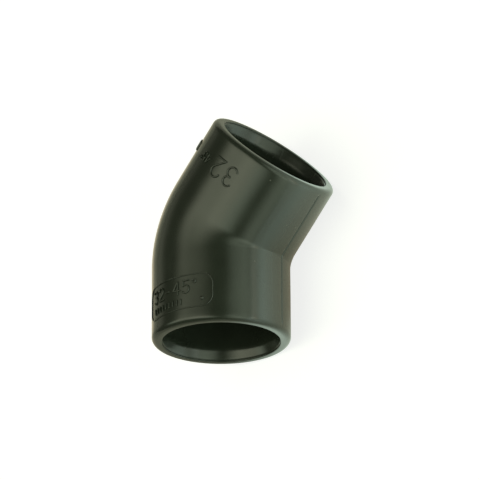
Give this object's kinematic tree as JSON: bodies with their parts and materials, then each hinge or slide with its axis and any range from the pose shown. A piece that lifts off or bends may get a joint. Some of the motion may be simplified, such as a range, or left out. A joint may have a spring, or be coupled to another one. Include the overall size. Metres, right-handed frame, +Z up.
{
  "type": "45 degree pipe elbow",
  "caption": "Short 45 degree elbow moulded in dark grey-green plastic, with a plain glue-on socket at each end for 32 mm conduit or pipe.",
  "frame": {"origin": "on the surface that the elbow lies on, below the middle of its bounding box", "axes": "+Z up; the bend is in the level plane z = 20.2 mm; the sockets point to -X and +X, both turned 22.5 degrees towards -Y, so -Y is the inside of the bend"},
  "size_m": [0.0718, 0.0484, 0.0404],
  "materials": {
    "pvc": "satin"
  },
  "bodies": {
    "root": {"elbow_body": "pvc"}
  },
  "joints": []
}
